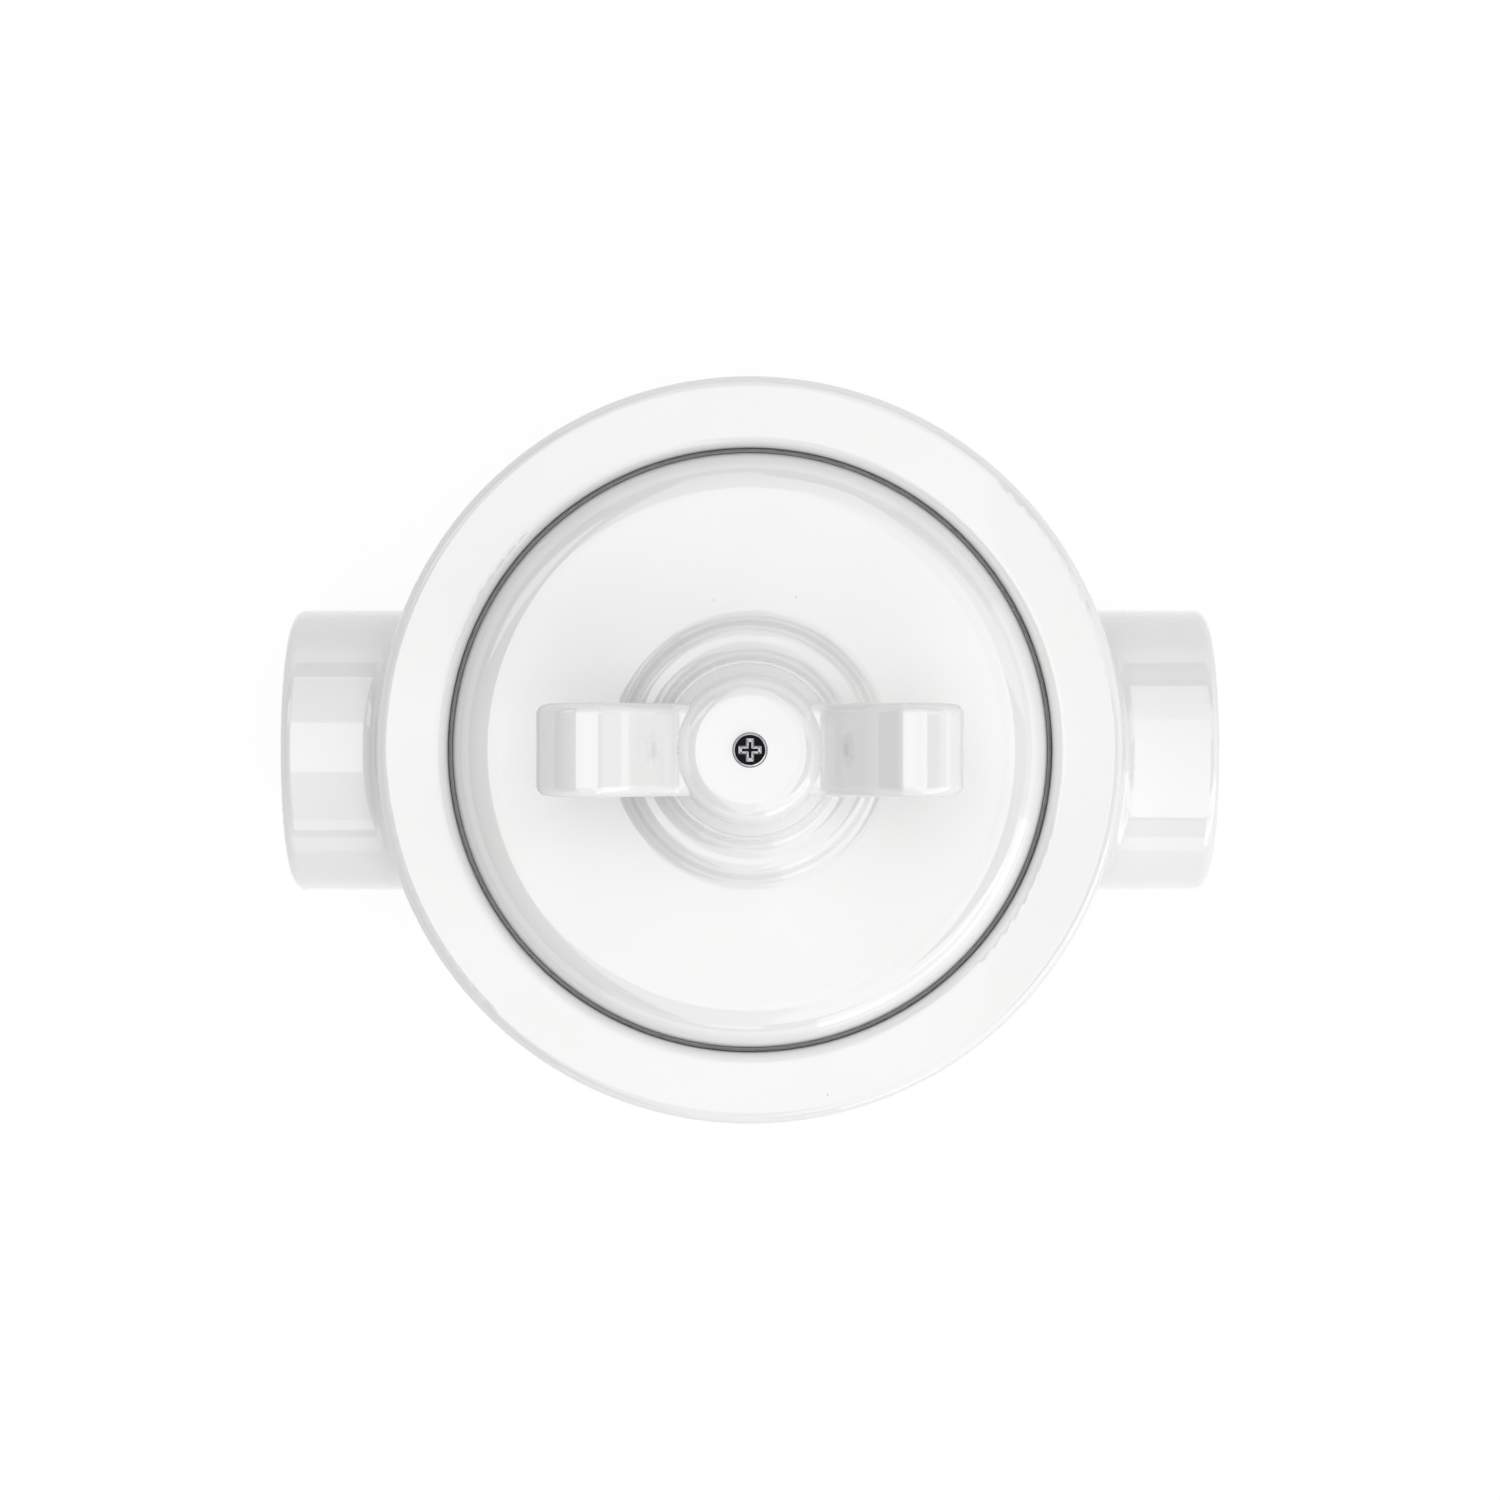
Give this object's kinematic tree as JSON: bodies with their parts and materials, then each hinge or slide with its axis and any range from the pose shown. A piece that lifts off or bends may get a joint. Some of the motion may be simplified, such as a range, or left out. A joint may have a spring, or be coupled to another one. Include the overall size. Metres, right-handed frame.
{
  "type": "porcelain rotary switch",
  "caption": "Round glazed porcelain surface switch with two side conduit sockets, a winged turn knob that clicks every quarter turn and a screwed terminal block inside.",
  "frame": {"origin": "centre of the flat back face that lies on the wall", "axes": "+Z out of the wall along the knob's axis, +X along the two conduit collars, +Y up in the picture"},
  "size_m": [0.1056, 0.083, 0.0611],
  "materials": {
    "glazed_porcelain": "white glaze, glossy",
    "cover_porcelain": "white glaze, glossy",
    "knob_porcelain": "white glaze, glossy",
    "bright_chrome": "polished plating",
    "black_rubber": "matte",
    "nickel_brass": "nickel plated",
    "plain_brass": "machined",
    "zinc_steel": "zinc plated",
    "spring_steel": "ground",
    "steatite": "unglazed",
    "brown_phenolic": "moulded",
    "red_fibre": "pressed fibre"
  },
  "bodies": {
    "housing": {"base_body": "glazed_porcelain", "cover": "cover_porcelain", "cover_gasket": "black_rubber", "cover_nut": "nickel_brass", "nut_washer": "nickel_brass", "threaded_bush": "nickel_brass", "mechanism_bridge": "zinc_steel", "bridge_washers": "zinc_steel", "bridge_screws": "zinc_steel", "block_screws": "zinc_steel", "block_nuts": "zinc_steel", "pillar_inserts": "plain_brass", "switch_block": "steatite", "terminal_1": "plain_brass", "terminal_2": "plain_brass", "terminal_3": "plain_brass", "terminal_4": "plain_brass", "terminal_screws": "zinc_steel", "detent_spring_left": "spring_steel", "detent_spring_right": "spring_steel"},
    "turning_assembly": {"knob": "knob_porcelain", "knob_screw": "bright_chrome", "knob_washer": "red_fibre", "spindle": "spring_steel", "spindle_clip": "spring_steel", "rotor_lower_disc": "brown_phenolic", "rotor_upper_disc": "brown_phenolic", "moving_contact": "plain_brass", "index_cam": "spring_steel", "thrust_washer": "spring_steel"}
  },
  "joints": [
    {"name": "knob_turn", "type": "hinge", "parent": "housing", "child": "turning_assembly", "pos_m": [0, 0, 0.04], "axis": [0, 0, 1], "continuous": true, "deforming": ["detent_spring_left", "detent_spring_right"]}
  ]
}
